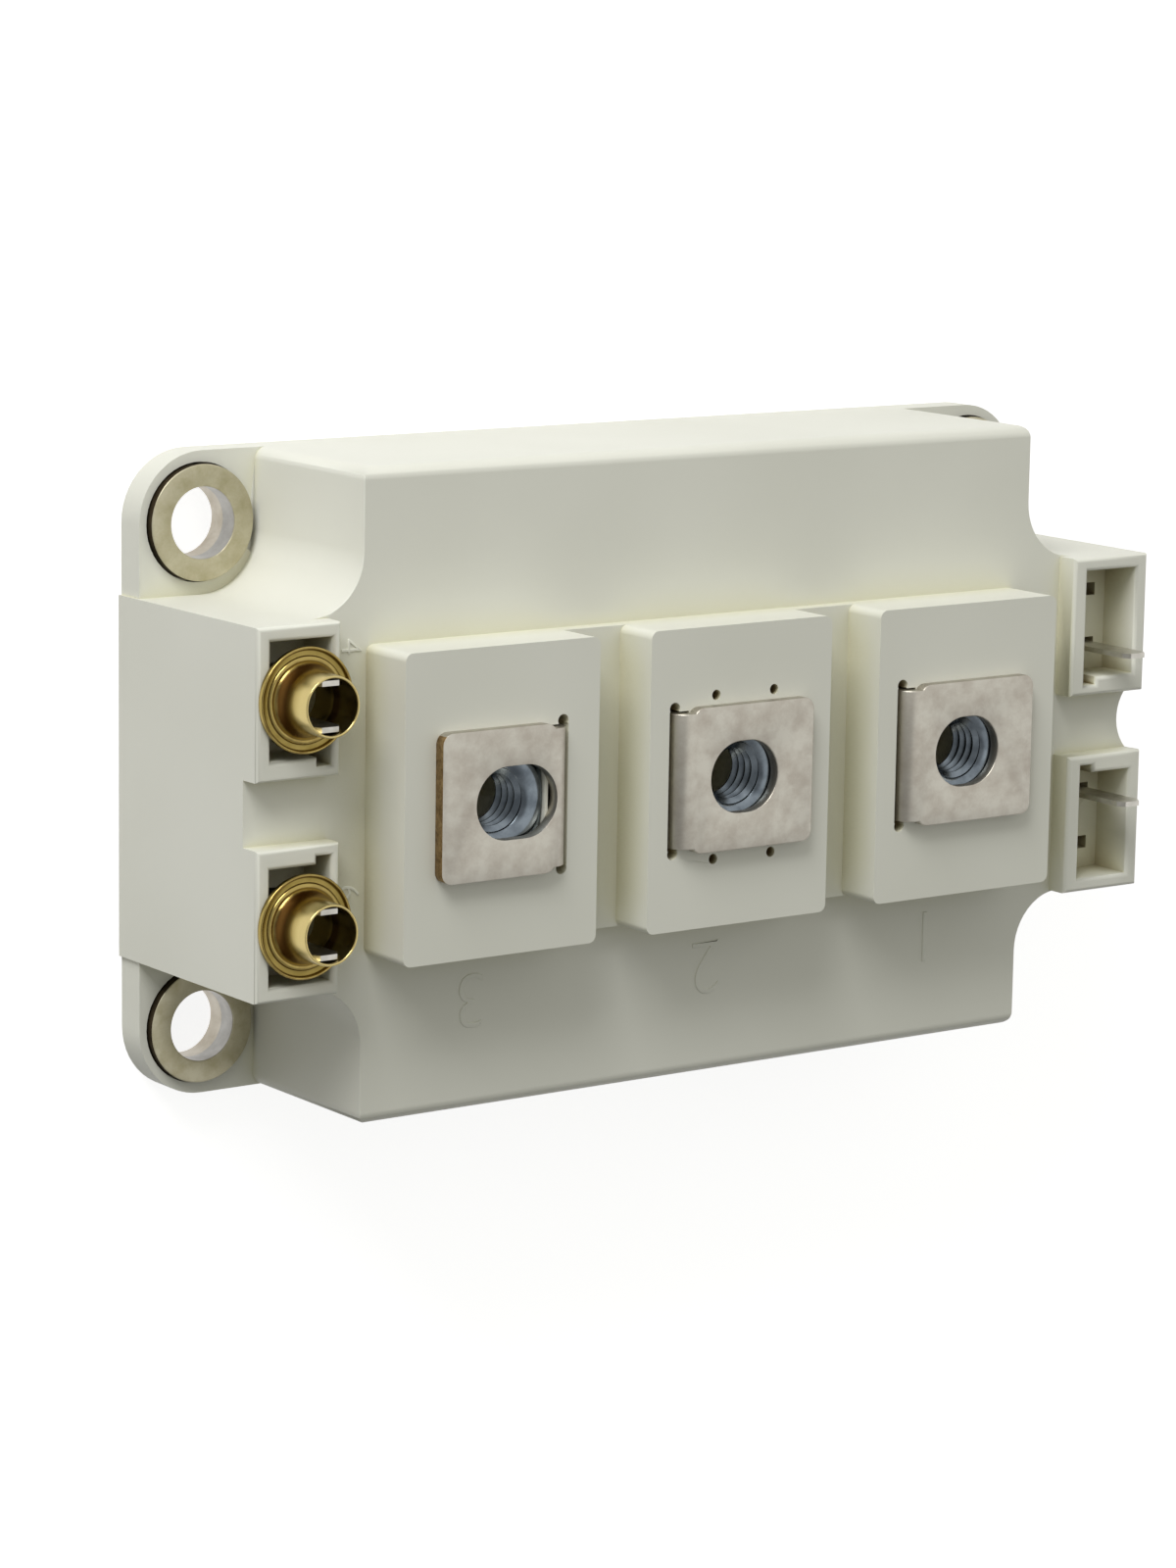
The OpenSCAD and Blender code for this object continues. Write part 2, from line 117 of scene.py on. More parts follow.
def ramp(tree, fac, stops):
    """The colour at fac between stops, which are pairs of a position and an sRGB hex value."""
    node = add_node(tree, "ShaderNodeValToRGB", {"Fac": fac})
    first, last = node.color_ramp.elements
    first.position, first.color = stops[0][0], linear(stops[0][1])
    last.position, last.color = stops[-1][0], linear(stops[-1][1])
    for position, hex_code in stops[1:-1]:
        node.color_ramp.elements.new(position).color = linear(hex_code)
    return node.outputs["Color"]


def ivory_moulding():
    """Satin ivory, a little deeper where the resin flowed last. The grain breaks up the highlights,
    and painted shade turns the depths of the hollows brown."""
    material, tree, place = start_material("ivory_pbt_moulded")
    flow = add_node(tree, "ShaderNodeTexNoise",
                    {"Vector": place, "Scale": PER_MM / FLOW_MM, "Detail": 2.0, "Roughness": 0.5})
    grain = add_node(tree, "ShaderNodeTexNoise",
                     {"Vector": place, "Scale": PER_MM / GRAIN_MM, "Detail": 3.0, "Roughness": 0.6})
    # painted shade: ambient occlusion darkens and browns the hollows of the moulding
    openness = add_node(tree, "ShaderNodeAmbientOcclusion", {"Distance": SHADE_REACH},
                        samples=8, only_local=True)
    colour = add_node(tree, "ShaderNodeMixRGB",
                      {"Fac": 1.0, "Color1": ramp(tree, flow.outputs["Fac"], IVORY),
                       "Color2": ramp(tree, openness.outputs["AO"], HOLLOW_SHADE)}, blend_type="MULTIPLY")
    gloss = add_node(tree, "ShaderNodeMapRange",
                     {"Value": grain.outputs["Fac"], "To Min": 0.42, "To Max": 0.58})
    bump = add_node(tree, "ShaderNodeBump",
                    {"Height": grain.outputs["Fac"], "Strength": 0.12, "Distance": 0.02 * MM})
    shader = add_node(tree, "ShaderNodeBsdfPrincipled",
                      {"Base Color": colour.outputs["Color"], "Roughness": gloss.outputs["Result"],
                       "Normal": bump.outputs["Normal"], "IOR": 1.5})
    end_material(tree, shader)
    return material


def merged_copy(node):
    """A bmesh copy of a CAD node, its loose triangles joined at their corners."""
    copy = bmesh.new()
    copy.from_mesh(nodes[node].data)
    bmesh.ops.remove_doubles(copy, verts=copy.verts, dist=WELD)
    return copy


def whole_faces(mesh):
    """Makes one face of the triangles that lie in one plane, so that an edge can be bevelled."""
    bmesh.ops.dissolve_limit(mesh, angle_limit=FLAT_ANGLE, verts=mesh.verts, edges=mesh.edges)


def middle_of(edge):
    return (edge.verts[0].co + edge.verts[1].co) / 2


def near_terminal(point):
    """Slots, wells and pin marks round the strips stay crisp, as a core pin leaves them."""
    return any(abs(point.x - (low.x + high.x) / 2) < TERMINAL_REACH and abs(point.y) < TERMINAL_REACH
               and point.z > face_z / 2 for low, high in nut_boxes)


def outer_edges(mesh):
    """The convex edges of a bmesh that can be seen from outside, so not those of the inner room."""
    walls = BVHTree.FromBMesh(mesh)
    found = []
    for edge in mesh.edges:
        if len(edge.link_faces) != 2 or edge.calc_face_angle_signed(0) < CORNER_ANGLE:
            continue
        middle = middle_of(edge)
        away = (edge.link_faces[0].normal + edge.link_faces[1].normal).normalized()
        shut_in = walls.ray_cast(middle + away * JUST_OUTSIDE, away)[0]
        if not near_terminal(middle) and not shut_in:
            found.append(edge)
    return found


def round_edges(mesh, choose, radius):
    """Rounds the outer edges whose middle point choose() accepts."""
    edges = [edge for edge in outer_edges(mesh) if choose(middle_of(edge))]
    bmesh.ops.bevel(mesh, geom=edges, offset=radius, offset_type="OFFSET", segments=3,
                    profile=0.5, affect="EDGES", clamp_overlap=True, material=-1)


def new_piece(name, mesh, material):
    """Makes a finished bmesh an object at the origin that moves with the module."""
    data = bpy.data.meshes.new(name)
    mesh.to_mesh(data)
    mesh.free()
    data.materials.append(material)
    piece = bpy.data.objects.new(name, data)
    bpy.context.scene.collection.objects.link(piece)
    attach(piece, "root")
    return piece


def smooth_by_angle(piece, degrees):
    """Shades a piece smooth, apart from the edges that turn by more than degrees."""
    piece.data.shade_smooth()
    piece.data.set_sharp_from_angle(angle=math.radians(degrees))


def level_faces(piece):
    """Lets large flat faces shade flat, so that only the rounded edges between them shade round."""
    level = piece.modifiers.new("level_faces", "WEIGHTED_NORMAL")
    level.keep_sharp = True


housing_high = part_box("housing")[1]
face_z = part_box("terminal_strip_1")[1].z
nut_boxes = [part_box("terminal_nut_%d" % number) for number in (1, 2, 3)]
roof_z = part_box("shorting_eyelet_1")[0].z
socket_z = roof_z + SOCKET_RISE
sockets_from = SOCKETS_FROM * housing_high.x
block_side = BLOCK_SIDE * housing_high.y

shell = merged_copy("housing")
whole_faces(shell)
round_edges(shell, lambda p: abs(p.z - socket_z) < SAME_LEVEL, SOCKET_EDGE)
round_edges(shell, lambda p: abs(p.z - roof_z) < SAME_LEVEL and abs(p.y) > block_side, ROOF_EDGE)
round_edges(shell, lambda p: abs(p.x) < sockets_from and abs(p.y) < block_side, BODY_EDGE)
round_edges(shell, lambda p: abs(p.x) >= sockets_from and p.z < socket_z - RIM_BAND, LOWER_EDGE)

# the slots in the rear sockets, which leave room past the blade on its outer side
blade_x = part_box("control_tab_5")[0].x
slot_low, slot_high = (level * face_z for level in SLOT_LEVELS)
for vert in shell.verts:
    if abs(vert.co.x - blade_x) < SLOT_NEAR and slot_low < vert.co.z < slot_high:
        vert.co.x -= SLOT_ROOM

moulding = ivory_moulding()
housing = new_piece("housing_moulded", shell, moulding)
smooth_by_angle(housing, 32)
level_faces(housing)
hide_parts("housing")


# ---- Numerals ----
# Terminal numbers that were cut into the mould, so they stand just proud of the roof: 1 to 3
# beside the pedestals on the +Y side, and a small 4 and 6 beside the front control sockets. They
# are part of the moulding and have its finish.

NUMERAL_H = 5.5 * MM
NUMERAL_Y = 19.9 * MM
NUMERAL_SHIFT = 1.5 * MM            # from the terminal's axis towards -X
PIN_NUMERAL_H = 2.2 * MM
PIN_NUMERAL_X = 41.9 * MM
PIN_NUMERALS_Y = {"4": -14.4 * MM, "6": 8.4 * MM}
PIN_NUMERAL_TURN = 90               # degrees, so that they read from the +X end
NUMERAL_RISE = 0.12 * MM
DIGIT_SHARE = 0.7                   # a digit's height, of the font's size
THINNING = 0.035                    # taken off each side of a stroke, of the digit's height


def raised_numeral(text, height, turn, place):
    """A numeral as a closed mesh, its lower half under the surface that carries it."""
    curve = bpy.data.curves.new("numeral", "FONT")
    curve.body = text
    curve.size = height / DIGIT_SHARE
    curve.align_x = "CENTER"
    curve.align_y = "CENTER"
    curve.offset = -THINNING * height
    curve.extrude = NUMERAL_RISE / 2
    curve.bevel_depth = NUMERAL_RISE / 2
    curve.bevel_resolution = 2
    letter = bpy.data.objects.new("numeral", curve)
    bpy.context.scene.collection.objects.link(letter)
    bpy.context.view_layer.update()
    mesh = bmesh.new()
    mesh.from_mesh(letter.to_mesh())
    letter.to_mesh_clear()
    bpy.data.objects.remove(letter)
    bmesh.ops.remove_doubles(mesh, verts=mesh.verts, dist=WELD)
    bmesh.ops.recalc_face_normals(mesh, faces=mesh.faces)
    bmesh.ops.rotate(mesh, verts=mesh.verts, cent=(0, 0, 0),
                     matrix=Matrix.Rotation(math.radians(turn), 3, "Z"))
    bmesh.ops.translate(mesh, verts=mesh.verts, vec=place)
    return mesh


numerals = [(str(number), NUMERAL_H, 0, ((low.x + high.x) / 2 - NUMERAL_SHIFT, NUMERAL_Y, roof_z))
            for number, (low, high) in enumerate(nut_boxes, start=1)]
numerals += [(text, PIN_NUMERAL_H, PIN_NUMERAL_TURN, (PIN_NUMERAL_X, y, roof_z))
             for text, y in PIN_NUMERALS_Y.items()]
for text, height, turn, place in numerals:
    figure = raised_numeral(text, height, turn, place)
    numeral = new_piece("numeral_" + text, figure, moulding)
    smooth_by_angle(numeral, 40)


# ---- Baseplate ----
# A rolled copper plate with satin nickel plate, glued into the housing from below. It shows only
# from below and in the holes.

MOTTLE_MM = 2.2
PITS_MM = 0.25
ROLLING_MM = 0.12
ROLLING_STRETCH = 0.04              # a rolling line is 25 times as long as it is wide
GLOSS_SPREAD = 0.06


def nickel_plate(name, dark, light, roughness, lines_mm=0, metallic=1.0):
    """Dull nickel over another metal: a soft mottle of dark and light, with fine pits, or with lines
    along X where lines_mm gives their width."""
    material, tree, place = start_material(name)
    mottle = add_node(tree, "ShaderNodeTexNoise",
                      {"Vector": place, "Scale": PER_MM / MOTTLE_MM, "Detail": 6.0, "Roughness": 0.65})
    relief_place, relief_mm = place, PITS_MM
    if lines_mm:
        relief_place = add_node(tree, "ShaderNodeMapping",
                                {"Vector": place, "Scale": (ROLLING_STRETCH, 1.0, ROLLING_STRETCH)}
                                ).outputs["Vector"]
        relief_mm = lines_mm
    relief = add_node(tree, "ShaderNodeTexNoise",
                      {"Vector": relief_place, "Scale": PER_MM / relief_mm, "Detail": 2.0})
    gloss = add_node(tree, "ShaderNodeMapRange",
                     {"Value": mottle.outputs["Fac"], "From Min": 0.3, "From Max": 0.7,
                      "To Min": roughness + GLOSS_SPREAD, "To Max": roughness - GLOSS_SPREAD})
    bump = add_node(tree, "ShaderNodeBump",
                    {"Height": relief.outputs["Fac"], "Strength": 0.15, "Distance": 0.01 * MM})
    shader = add_node(tree, "ShaderNodeBsdfPrincipled",
                      {"Base Color": ramp(tree, mottle.outputs["Fac"], [(0.34, dark), (0.62, light)]),
                       "Roughness": gloss.outputs["Result"], "Normal": bump.outputs["Normal"],
                       "Metallic": metallic})
    end_material(tree, shader)
    return material


def dress(node, material):
    """Gives a CAD node, which keeps its own mesh, its material."""
    nodes[node].data.materials.clear()
    nodes[node].data.materials.append(material)


# satin, with faint lines along its length from the rolling
dress("baseplate", nickel_plate("satin_nickel_on_copper", "B3AA9A", "C6BFB2", 0.38, ROLLING_MM))


# ---- Mounting rings ----
# Thick sleeves pressed from steel and nickel plated, set in the ears on top of the baseplate, so
# that the heatsink screws press on metal and not on plastic.

RING_EDGE = 0.12 * MM
SPIN_STEPS = 96
UPRIGHT = 0.3                       # the normal of an upright face rises by less than this


def spin_profile(mesh, outline, centre):
    """Spins a closed outline of (radius, height) points once round a vertical axis."""
    points = [mesh.verts.new((radius, 0, height)) for radius, height in outline]
    edges = [mesh.edges.new(ends) for ends in zip(points, points[1:] + points[:1])]
    bmesh.ops.spin(mesh, geom=points + edges, cent=(0, 0, 0), axis=(0, 0, 1), angle=2 * math.pi,
                   steps=SPIN_STEPS, use_merge=True)
    bmesh.ops.remove_doubles(mesh, verts=mesh.verts, dist=WELD)
    bmesh.ops.recalc_face_normals(mesh, faces=mesh.faces)
    bmesh.ops.translate(mesh, verts=mesh.verts, vec=centre)


def arc(centre_r, centre_z, radius, from_deg, to_deg, count):
    """Points of an arc in a (radius, height) outline."""
    angles = [math.radians(from_deg + (to_deg - from_deg) * i / (count - 1)) for i in range(count)]
    return [(centre_r + radius * math.cos(a), centre_z + radius * math.sin(a)) for a in angles]


def part_bore_and_side(mesh):
    """Gives the upright faces of a ring round the Z axis material 1 inside and 2 outside."""
    for face in mesh.faces:
        if abs(face.normal.z) < UPRIGHT:
            inside = face.normal.dot(face.calc_center_median()) < 0
            face.material_index = 1 if inside else 2


# yellowed on top, where oxide takes part of the metal's shine; bright in the bore, which the
# screws keep clean; and near black on the side, as painted shade for the gap to the housing
ring_metals = [nickel_plate("yellowed_nickel_on_steel", "AEA686", "C2BCA2", 0.42, metallic=0.6),
               nickel_plate("drawn_nickel_bore", "9E9C98", "B0AEAA", 0.34),
               # painted shade: the dark outer side wall stands in for the shadow in the gap to the
               # housing
               nickel_plate("shade_painted_steel_side", "2E271C", "4A4030", 0.6)]
screw_hole = frame["record"]["mounts"][0]["dims"]["hole_r_mm"] * MM
for number in (1, 2, 3, 4):
    node = "mount_ring_%d" % number
    low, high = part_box(node)
    outer = (high.x - low.x) / 2
    shoulder = high.z - low.z - RING_EDGE
    outline = ([(screw_hole, 0), (outer, 0)]
               + arc(outer - RING_EDGE, shoulder, RING_EDGE, 0, 90, 5)
               + arc(screw_hole + RING_EDGE, shoulder, RING_EDGE, 90, 180, 5))
    sleeve = bmesh.new()
    spin_profile(sleeve, outline, (0, 0, low.z))
    part_bore_and_side(sleeve)
    bmesh.ops.translate(sleeve, verts=sleeve.verts, vec=((low.x + high.x) / 2, (low.y + high.y) / 2, 0))
    ring = new_piece(node + "_sleeve", sleeve, ring_metals[0])
    for metal in ring_metals[1:]:
        ring.data.materials.append(metal)
    smooth_by_angle(ring, 40)
    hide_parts(node)


# ---- Terminal strips ----
# Copper strip, punched and bent, with dull nickel plate. It was cut from the reel after plating,
# so its tip is bare copper, and the leg at its other end goes down a slot in the moulding.

STRIP_EDGE = 0.12 * MM
STRIP_CORNER = math.radians(50)
TIP_PAST_NUT = 3 * MM
TIP_REACH = 1.0 * MM
FACES_ALONG = 0.6                   # the normal of a face across the strip has at least this along X
TEARS_MM = 0.7


def bare_copper(name, dark, light):
    """Copper without plate: its own red or brown, in streaks, and rough enough to look matt."""
    material, tree, place = start_material(name)
    tears = add_node(tree, "ShaderNodeTexNoise",
                     {"Vector": place, "Scale": PER_MM / TEARS_MM, "Detail": 5.0, "Roughness": 0.7})
    bump = add_node(tree, "ShaderNodeBump",
                    {"Height": tears.outputs["Fac"], "Strength": 0.3, "Distance": 0.03 * MM})
    shader = add_node(tree, "ShaderNodeBsdfPrincipled",
                      {"Base Color": ramp(tree, tears.outputs["Fac"], [(0.35, dark), (0.65, light)]),
                       "Normal": bump.outputs["Normal"], "Metallic": 1.0, "Roughness": 0.5})
    end_material(tree, shader)
    return material


# mottled grey on the faces, and brown from handling on the cut tip
strip_metal = nickel_plate("dull_nickel_on_copper_strip", "B0A99D", "C0BCB0", 0.42)
cut_copper = bare_copper("punched_copper_edge", "6B5536", "A38A62")
for number in (1, 2, 3):
    node = "terminal_strip_%d" % number
    low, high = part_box(node)
    strip_mesh = merged_copy(node)
    whole_faces(strip_mesh)
    corners = [edge for edge in strip_mesh.edges if edge.calc_face_angle_signed(0) > STRIP_CORNER]
    bmesh.ops.bevel(strip_mesh, geom=corners, offset=STRIP_EDGE, offset_type="OFFSET", segments=2,
                    profile=0.5, affect="EDGES", clamp_overlap=True, material=-1)
    strip_mesh.normal_update()
    # the third strip points to +X, and the others to -X
    tip_x = high.x if number == 3 else max(low.x, nut_boxes[number - 1][0].x - TIP_PAST_NUT)
    for face in strip_mesh.faces:
        place = face.calc_center_median()
        at_tip = abs(place.x - tip_x) < TIP_REACH and place.z > housing_high.z
        face.material_index = 1 if at_tip and abs(face.normal.x) > FACES_ALONG else 0
    strip = new_piece(node + "_plated", strip_mesh, strip_metal)
    strip.data.materials.append(cut_copper)
    smooth_by_angle(strip, 35)
    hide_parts(node)


# ---- Terminal nuts ----
# Cold-formed M6 steel nuts with bright blue zinc, loose in hexagonal wells under the strips. The
# thread was cut by a tap: a helix between two countersinks, which shows in each strip's hole.

THREAD_PITCH = 1.0 * MM
THREAD_ROOT = 3.0 * MM              # the radius of the wall that the thread stands on
RIDGE_FOOT = 3.05 * MM              # the ridge starts a little inside that wall
FOOT_HALF = 0.46                    # half the width of the ridge's foot, of the pitch
CREST_HALF = 0.06                   # half the width of its crest, of the pitch
THREAD_FADE = THREAD_PITCH / 5      # the rise in which the crest comes up at each end
THREAD_STEPS = 48                   # for each turn
COUNTERSINK = 0.5 * MM
SPANGLE_MM = 1.5
THREAD_SHADE_REACH = 2 * THREAD_PITCH
ZINC = [(0.35, "646C73"), (0.65, "828B92")]
# painted shade: the less open a point of the thread, the darker its colour
THREAD_SHADE = [(0.3, "26292C"), (0.66, "FFFFFF")]


def bright_zinc():
    """Glossy blue grey with a faint spangle, and near black with painted shade in the roots of the
    thread.
    """
    material, tree, place = start_material("bright_zinc_on_steel")
    spangle = add_node(tree, "ShaderNodeTexNoise",
                       {"Vector": place, "Scale": PER_MM / SPANGLE_MM, "Detail": 4.0})
    # painted shade from ambient occlusion in the roots of the thread
    openness = add_node(tree, "ShaderNodeAmbientOcclusion", {"Distance": THREAD_SHADE_REACH},
                        samples=8, only_local=True)
    colour = add_node(tree, "ShaderNodeMixRGB",
                      {"Fac": 1.0, "Color1": ramp(tree, spangle.outputs["Fac"], ZINC),
                       "Color2": ramp(tree, openness.outputs["AO"], THREAD_SHADE)}, blend_type="MULTIPLY")
    gloss = add_node(tree, "ShaderNodeMapRange",
                     {"Value": spangle.outputs["Fac"], "To Min": 0.12, "To Max": 0.26})
    shader = add_node(tree, "ShaderNodeBsdfPrincipled",
                      {"Base Color": colour.outputs["Color"], "Roughness": gloss.outputs["Result"],
                       "Metallic": 1.0})
    end_material(tree, shader)
    return material


def thread_ridge(crest_r, low_z, high_z):
    """The coil of an internal thread round the Z axis, which fades into the wall at both ends."""
    mesh = bmesh.new()
    foot = FOOT_HALF * THREAD_PITCH
    crest = CREST_HALF * THREAD_PITCH
    first, last = low_z + foot, high_z - foot
    turns = (last - first) / THREAD_PITCH
    steps = round(THREAD_STEPS * turns)
    section = [(RIDGE_FOOT, -foot), (crest_r, -crest), (crest_r, crest), (RIDGE_FOOT, foot)]
    face = mesh.faces.new([mesh.verts.new((radius, 0, first + rise)) for radius, rise in section])
    bmesh.ops.spin(mesh, geom=[face], cent=(0, 0, 0), axis=(0, 0, 1), angle=2 * math.pi * turns,
                   dvec=(0, 0, (last - first) / steps), steps=steps, use_merge=False)
    for vert in mesh.verts:
        radius = math.hypot(vert.co.x, vert.co.y)
        if radius < (crest_r + RIDGE_FOOT) / 2:
            height = min((vert.co.z - first) / THREAD_FADE, (last - vert.co.z) / THREAD_FADE, 1.0)
            wanted = RIDGE_FOOT + (crest_r - RIDGE_FOOT) * max(height, 0.0)
            vert.co.x *= wanted / radius
            vert.co.y *= wanted / radius
    bmesh.ops.recalc_face_normals(mesh, faces=mesh.faces)
    return mesh


zinc = bright_zinc()
for number in (1, 2, 3):
    node = "terminal_nut_%d" % number
    low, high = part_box(node)
    axis_x, axis_y = (low.x + high.x) / 2, (low.y + high.y) / 2
    blank = merged_copy(node)
    bmesh.ops.translate(blank, verts=blank.verts, vec=(-axis_x, -axis_y, 0))
    bore_verts = [vert for vert in blank.verts if math.hypot(vert.co.x, vert.co.y) < THREAD_ROOT]
    crest_r = math.hypot(bore_verts[0].co.x, bore_verts[0].co.y)
    widened = THREAD_ROOT / crest_r
    bmesh.ops.scale(blank, verts=bore_verts, vec=(widened, widened, 1))
    rims = [edge for edge in blank.edges if all(vert in bore_verts for vert in edge.verts)
            and abs(edge.verts[0].co.z - edge.verts[1].co.z) < SAME_LEVEL]
    bmesh.ops.bevel(blank, geom=rims, offset=COUNTERSINK, offset_type="OFFSET", segments=1,
                    profile=0.5, affect="EDGES", clamp_overlap=False, material=-1)
    ridge = thread_ridge(crest_r, low.z, high.z)
    coil = bpy.data.meshes.new("thread")
    ridge.to_mesh(coil)
    ridge.free()
    blank.from_mesh(coil)
    bmesh.ops.translate(blank, verts=blank.verts, vec=(axis_x, axis_y, 0))
    nut = new_piece(node + "_threaded", blank, zinc)
    smooth_by_angle(nut, 35)
    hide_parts(node)


# ---- Control tabs ----
# Stamped brass blades, tin plated. Two stand in each front socket and one in each rear socket,
# and each goes down to the gate or emitter track of its substrate.

BLOOM_MM = 1.2


def dull_tin():
    """Pale grey metal with a soft shine, and clouded where the tin has bloomed."""
    material, tree, place = start_material("dull_tin_on_brass")
    bloom = add_node(tree, "ShaderNodeTexNoise",
                     {"Vector": place, "Scale": PER_MM / BLOOM_MM, "Detail": 4.0})
    colour = ramp(tree, bloom.outputs["Fac"], [(0.3, "B9B6AC"), (0.7, "D4D1C8")])
    shader = add_node(tree, "ShaderNodeBsdfPrincipled",
                      {"Base Color": colour, "Metallic": 1.0, "Roughness": 0.34})
    end_material(tree, shader)
    return material


tin = dull_tin()
for number in range(1, 7):
    dress("control_tab_%d" % number, tin)


# ---- Shorting eyelets ----
# Thin brass, deep drawn and polished: a flange with a turned-up lip and a bead, and a tube that
# flares into it. One is pushed over both tabs of each front socket, to keep them shorted.

WALL = 0.25 * MM
TUBE_R = 3.0 * MM
TUBE_TAPER = 0.15 * MM              # how much narrower the tube's mouth is
LIP_R = 0.14 * MM                   # the round top of the lip
LIP_H = 0.5 * MM
TURN_R = 0.16 * MM                  # where the flange turns up into the lip
BEAD_AT = 3.75 * MM
BEAD_R = 0.35 * MM
FLARE_R = 3.0 * MM
FLARE_TOP = 2.2 * MM
WAVER_MM = 1.8
PAINTED_BAND_SPAN = 4.0 * MM               # the height over which the painted bands of the brass follow
PAINTED_BAND_WAVER = 0.12
# bands by height over the rim: dark olive on the flange and brown in the flare are painted shade and dark
# reflection, the lighter bead is a painted highlight, and the tube has the brass's own pale colour
BRASS_PAINTED_BANDS = [(0.10, "85733A"), (0.20, "AC985A"), (0.27, "5E421E"), (0.48, "6E5028"), (0.64, "AD9858"),
         (1.0, "C6B47A")]


def polished_brass(rim_z):
    """Brass, bright on the tube, with painted shade and reflection as brown in the flare and dark olive
    on the flange, and a painted highlight on the bead.
    """
    material, tree, place = start_material("polished_brass_drawn")
    # the colour follows height, so painted shade, reflection and highlight lie in rings round the eyelet
    height = add_node(tree, "ShaderNodeSeparateXYZ", {"Vector": place}).outputs["Z"]
    waver_noise = add_node(tree, "ShaderNodeTexNoise",
                     {"Vector": place, "Scale": PER_MM / WAVER_MM, "Detail": 4.0, "Roughness": 0.6})
    level = add_node(tree, "ShaderNodeMapRange",
                     {"Value": height, "From Min": rim_z, "From Max": rim_z + PAINTED_BAND_SPAN})
    wavering = add_node(tree, "ShaderNodeMath",
                        {0: waver_noise.outputs["Fac"], 1: PAINTED_BAND_WAVER, 2: level.outputs["Result"]},
                        operation="MULTIPLY_ADD")
    gloss = add_node(tree, "ShaderNodeMapRange",
                     {"Value": waver_noise.outputs["Fac"], "To Min": 0.3, "To Max": 0.16})
    shader = add_node(tree, "ShaderNodeBsdfPrincipled",
                      {"Base Color": ramp(tree, wavering.outputs["Value"], BRASS_PAINTED_BANDS),
                       "Roughness": gloss.outputs["Result"], "Metallic": 1.0})
    end_material(tree, shader)
    return material


def eyelet_outline(flange_r, top):
    """Right-hand half of the eyelet's section, its heights measured from the socket's rim: round
    the lip, in over the bead, up the flare, over the mouth and down inside to the skirt."""
    lip_x = flange_r - LIP_R
    return (arc(lip_x - TURN_R + LIP_R, TURN_R, TURN_R, -90, 0, 4)
            + arc(lip_x, LIP_H, LIP_R, 0, 180, 7)
            + arc(lip_x - LIP_R - TURN_R, WALL + TURN_R, TURN_R, 0, -90, 4)
            + arc(BEAD_AT, WALL, BEAD_R, 12, 130, 9)
            + arc(TUBE_R + FLARE_R, FLARE_TOP, FLARE_R, 213, 180, 10)
            + arc(TUBE_R - TUBE_TAPER - WALL / 2, top - WALL / 2, WALL / 2, 0, 180, 7)
            + [(TUBE_R - WALL, -SOCKET_RISE), (TUBE_R, -SOCKET_RISE), (TUBE_R, 0)])


brass = polished_brass(socket_z)
for number in (1, 2):
    node = "shorting_eyelet_%d" % number
    low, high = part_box(node)
    drawn = bmesh.new()
    spin_profile(drawn, eyelet_outline((high.x - low.x) / 2, high.z - socket_z),
                 ((low.x + high.x) / 2, (low.y + high.y) / 2, socket_z))
    eyelet = new_piece(node + "_drawn", drawn, brass)
    smooth_by_angle(eyelet, 40)
    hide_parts(node)


# ---- Inside: substrates, chips and bond wires ----
# Two alumina tiles with copper on both faces, soldered to the baseplate. Silicon chips lie on
# the upper copper under an aluminium metallising, and aluminium wires bond them to the tracks.

GRIT_MM = 0.3
CELL_W_MM = 2.4
CELL_L_MM = 4.8
GATE_RUNNER_MM = 0.08
DRAWN_MM = 0.2


def tile_alumina():
    """Matt off-white ceramic, with the fine grit of its powder."""
    material, tree, place = start_material("fired_alumina")
    grit = add_node(tree, "ShaderNodeTexNoise",
                    {"Vector": place, "Scale": PER_MM / GRIT_MM, "Detail": 3.0})
    colour = ramp(tree, grit.outputs["Fac"], [(0.3, "E6E3DB"), (0.7, "F1EFE9")])
    shader = add_node(tree, "ShaderNodeBsdfPrincipled", {"Base Color": colour, "Roughness": 0.6})
    end_material(tree, shader)
    return material


def chip_silicon():
    """Smooth grey metal in fields, with thin dark lines between them where the gate runs."""
    material, tree, place = start_material("metallised_silicon")
    cells = add_node(tree, "ShaderNodeTexBrick",
                     {"Vector": place, "Scale": PER_MM, "Brick Width": CELL_W_MM,
                      "Row Height": CELL_L_MM, "Mortar Size": GATE_RUNNER_MM,
                      "Color1": linear("9CA0A3"), "Color2": linear("A4A8AB"),
                      "Mortar": linear("3B4046")}, offset=0.0)
    shader = add_node(tree, "ShaderNodeBsdfPrincipled",
                      {"Base Color": cells.outputs["Color"], "Metallic": 1.0, "Roughness": 0.25})
    end_material(tree, shader)
    return material


def drawn_aluminium():
    """Bright pale metal, with faint changes of tone from the drawing die."""
    material, tree, place = start_material("drawn_aluminium_wire")
    tone = add_node(tree, "ShaderNodeTexNoise",
                    {"Vector": place, "Scale": PER_MM / DRAWN_MM, "Detail": 2.0})
    colour = ramp(tree, tone.outputs["Fac"], [(0.3, "CFD0D1"), (0.7, "DFE0E0")])
    shader = add_node(tree, "ShaderNodeBsdfPrincipled",
                      {"Base Color": colour, "Metallic": 1.0, "Roughness": 0.28})
    end_material(tree, shader)
    return material


ceramic = tile_alumina()
clad = bare_copper("clad_copper_sheet", "B4714C", "D08C66")
silicon = chip_silicon()
wire = drawn_aluminium()
for number in (1, 2):
    dress("ceramic_%d" % number, ceramic)
    dress("backing_copper_%d" % number, clad)
    dress("track_copper_%d" % number, clad)
    dress("bond_wires_%d" % number, wire)
for number in (1, 2, 3, 4):
    dress("igbt_chip_%d" % number, silicon)
    dress("diode_chip_%d" % number, silicon)


# ---- Floor ----
# A plain sheet of white paper that the module lies on, out to the horizon.

FLOOR_SIZE = 6.0
FLOOR_GAP = 0.02 * MM               # so that the paper and the underside aren't in one plane
PAPER_GLOW = 0.82


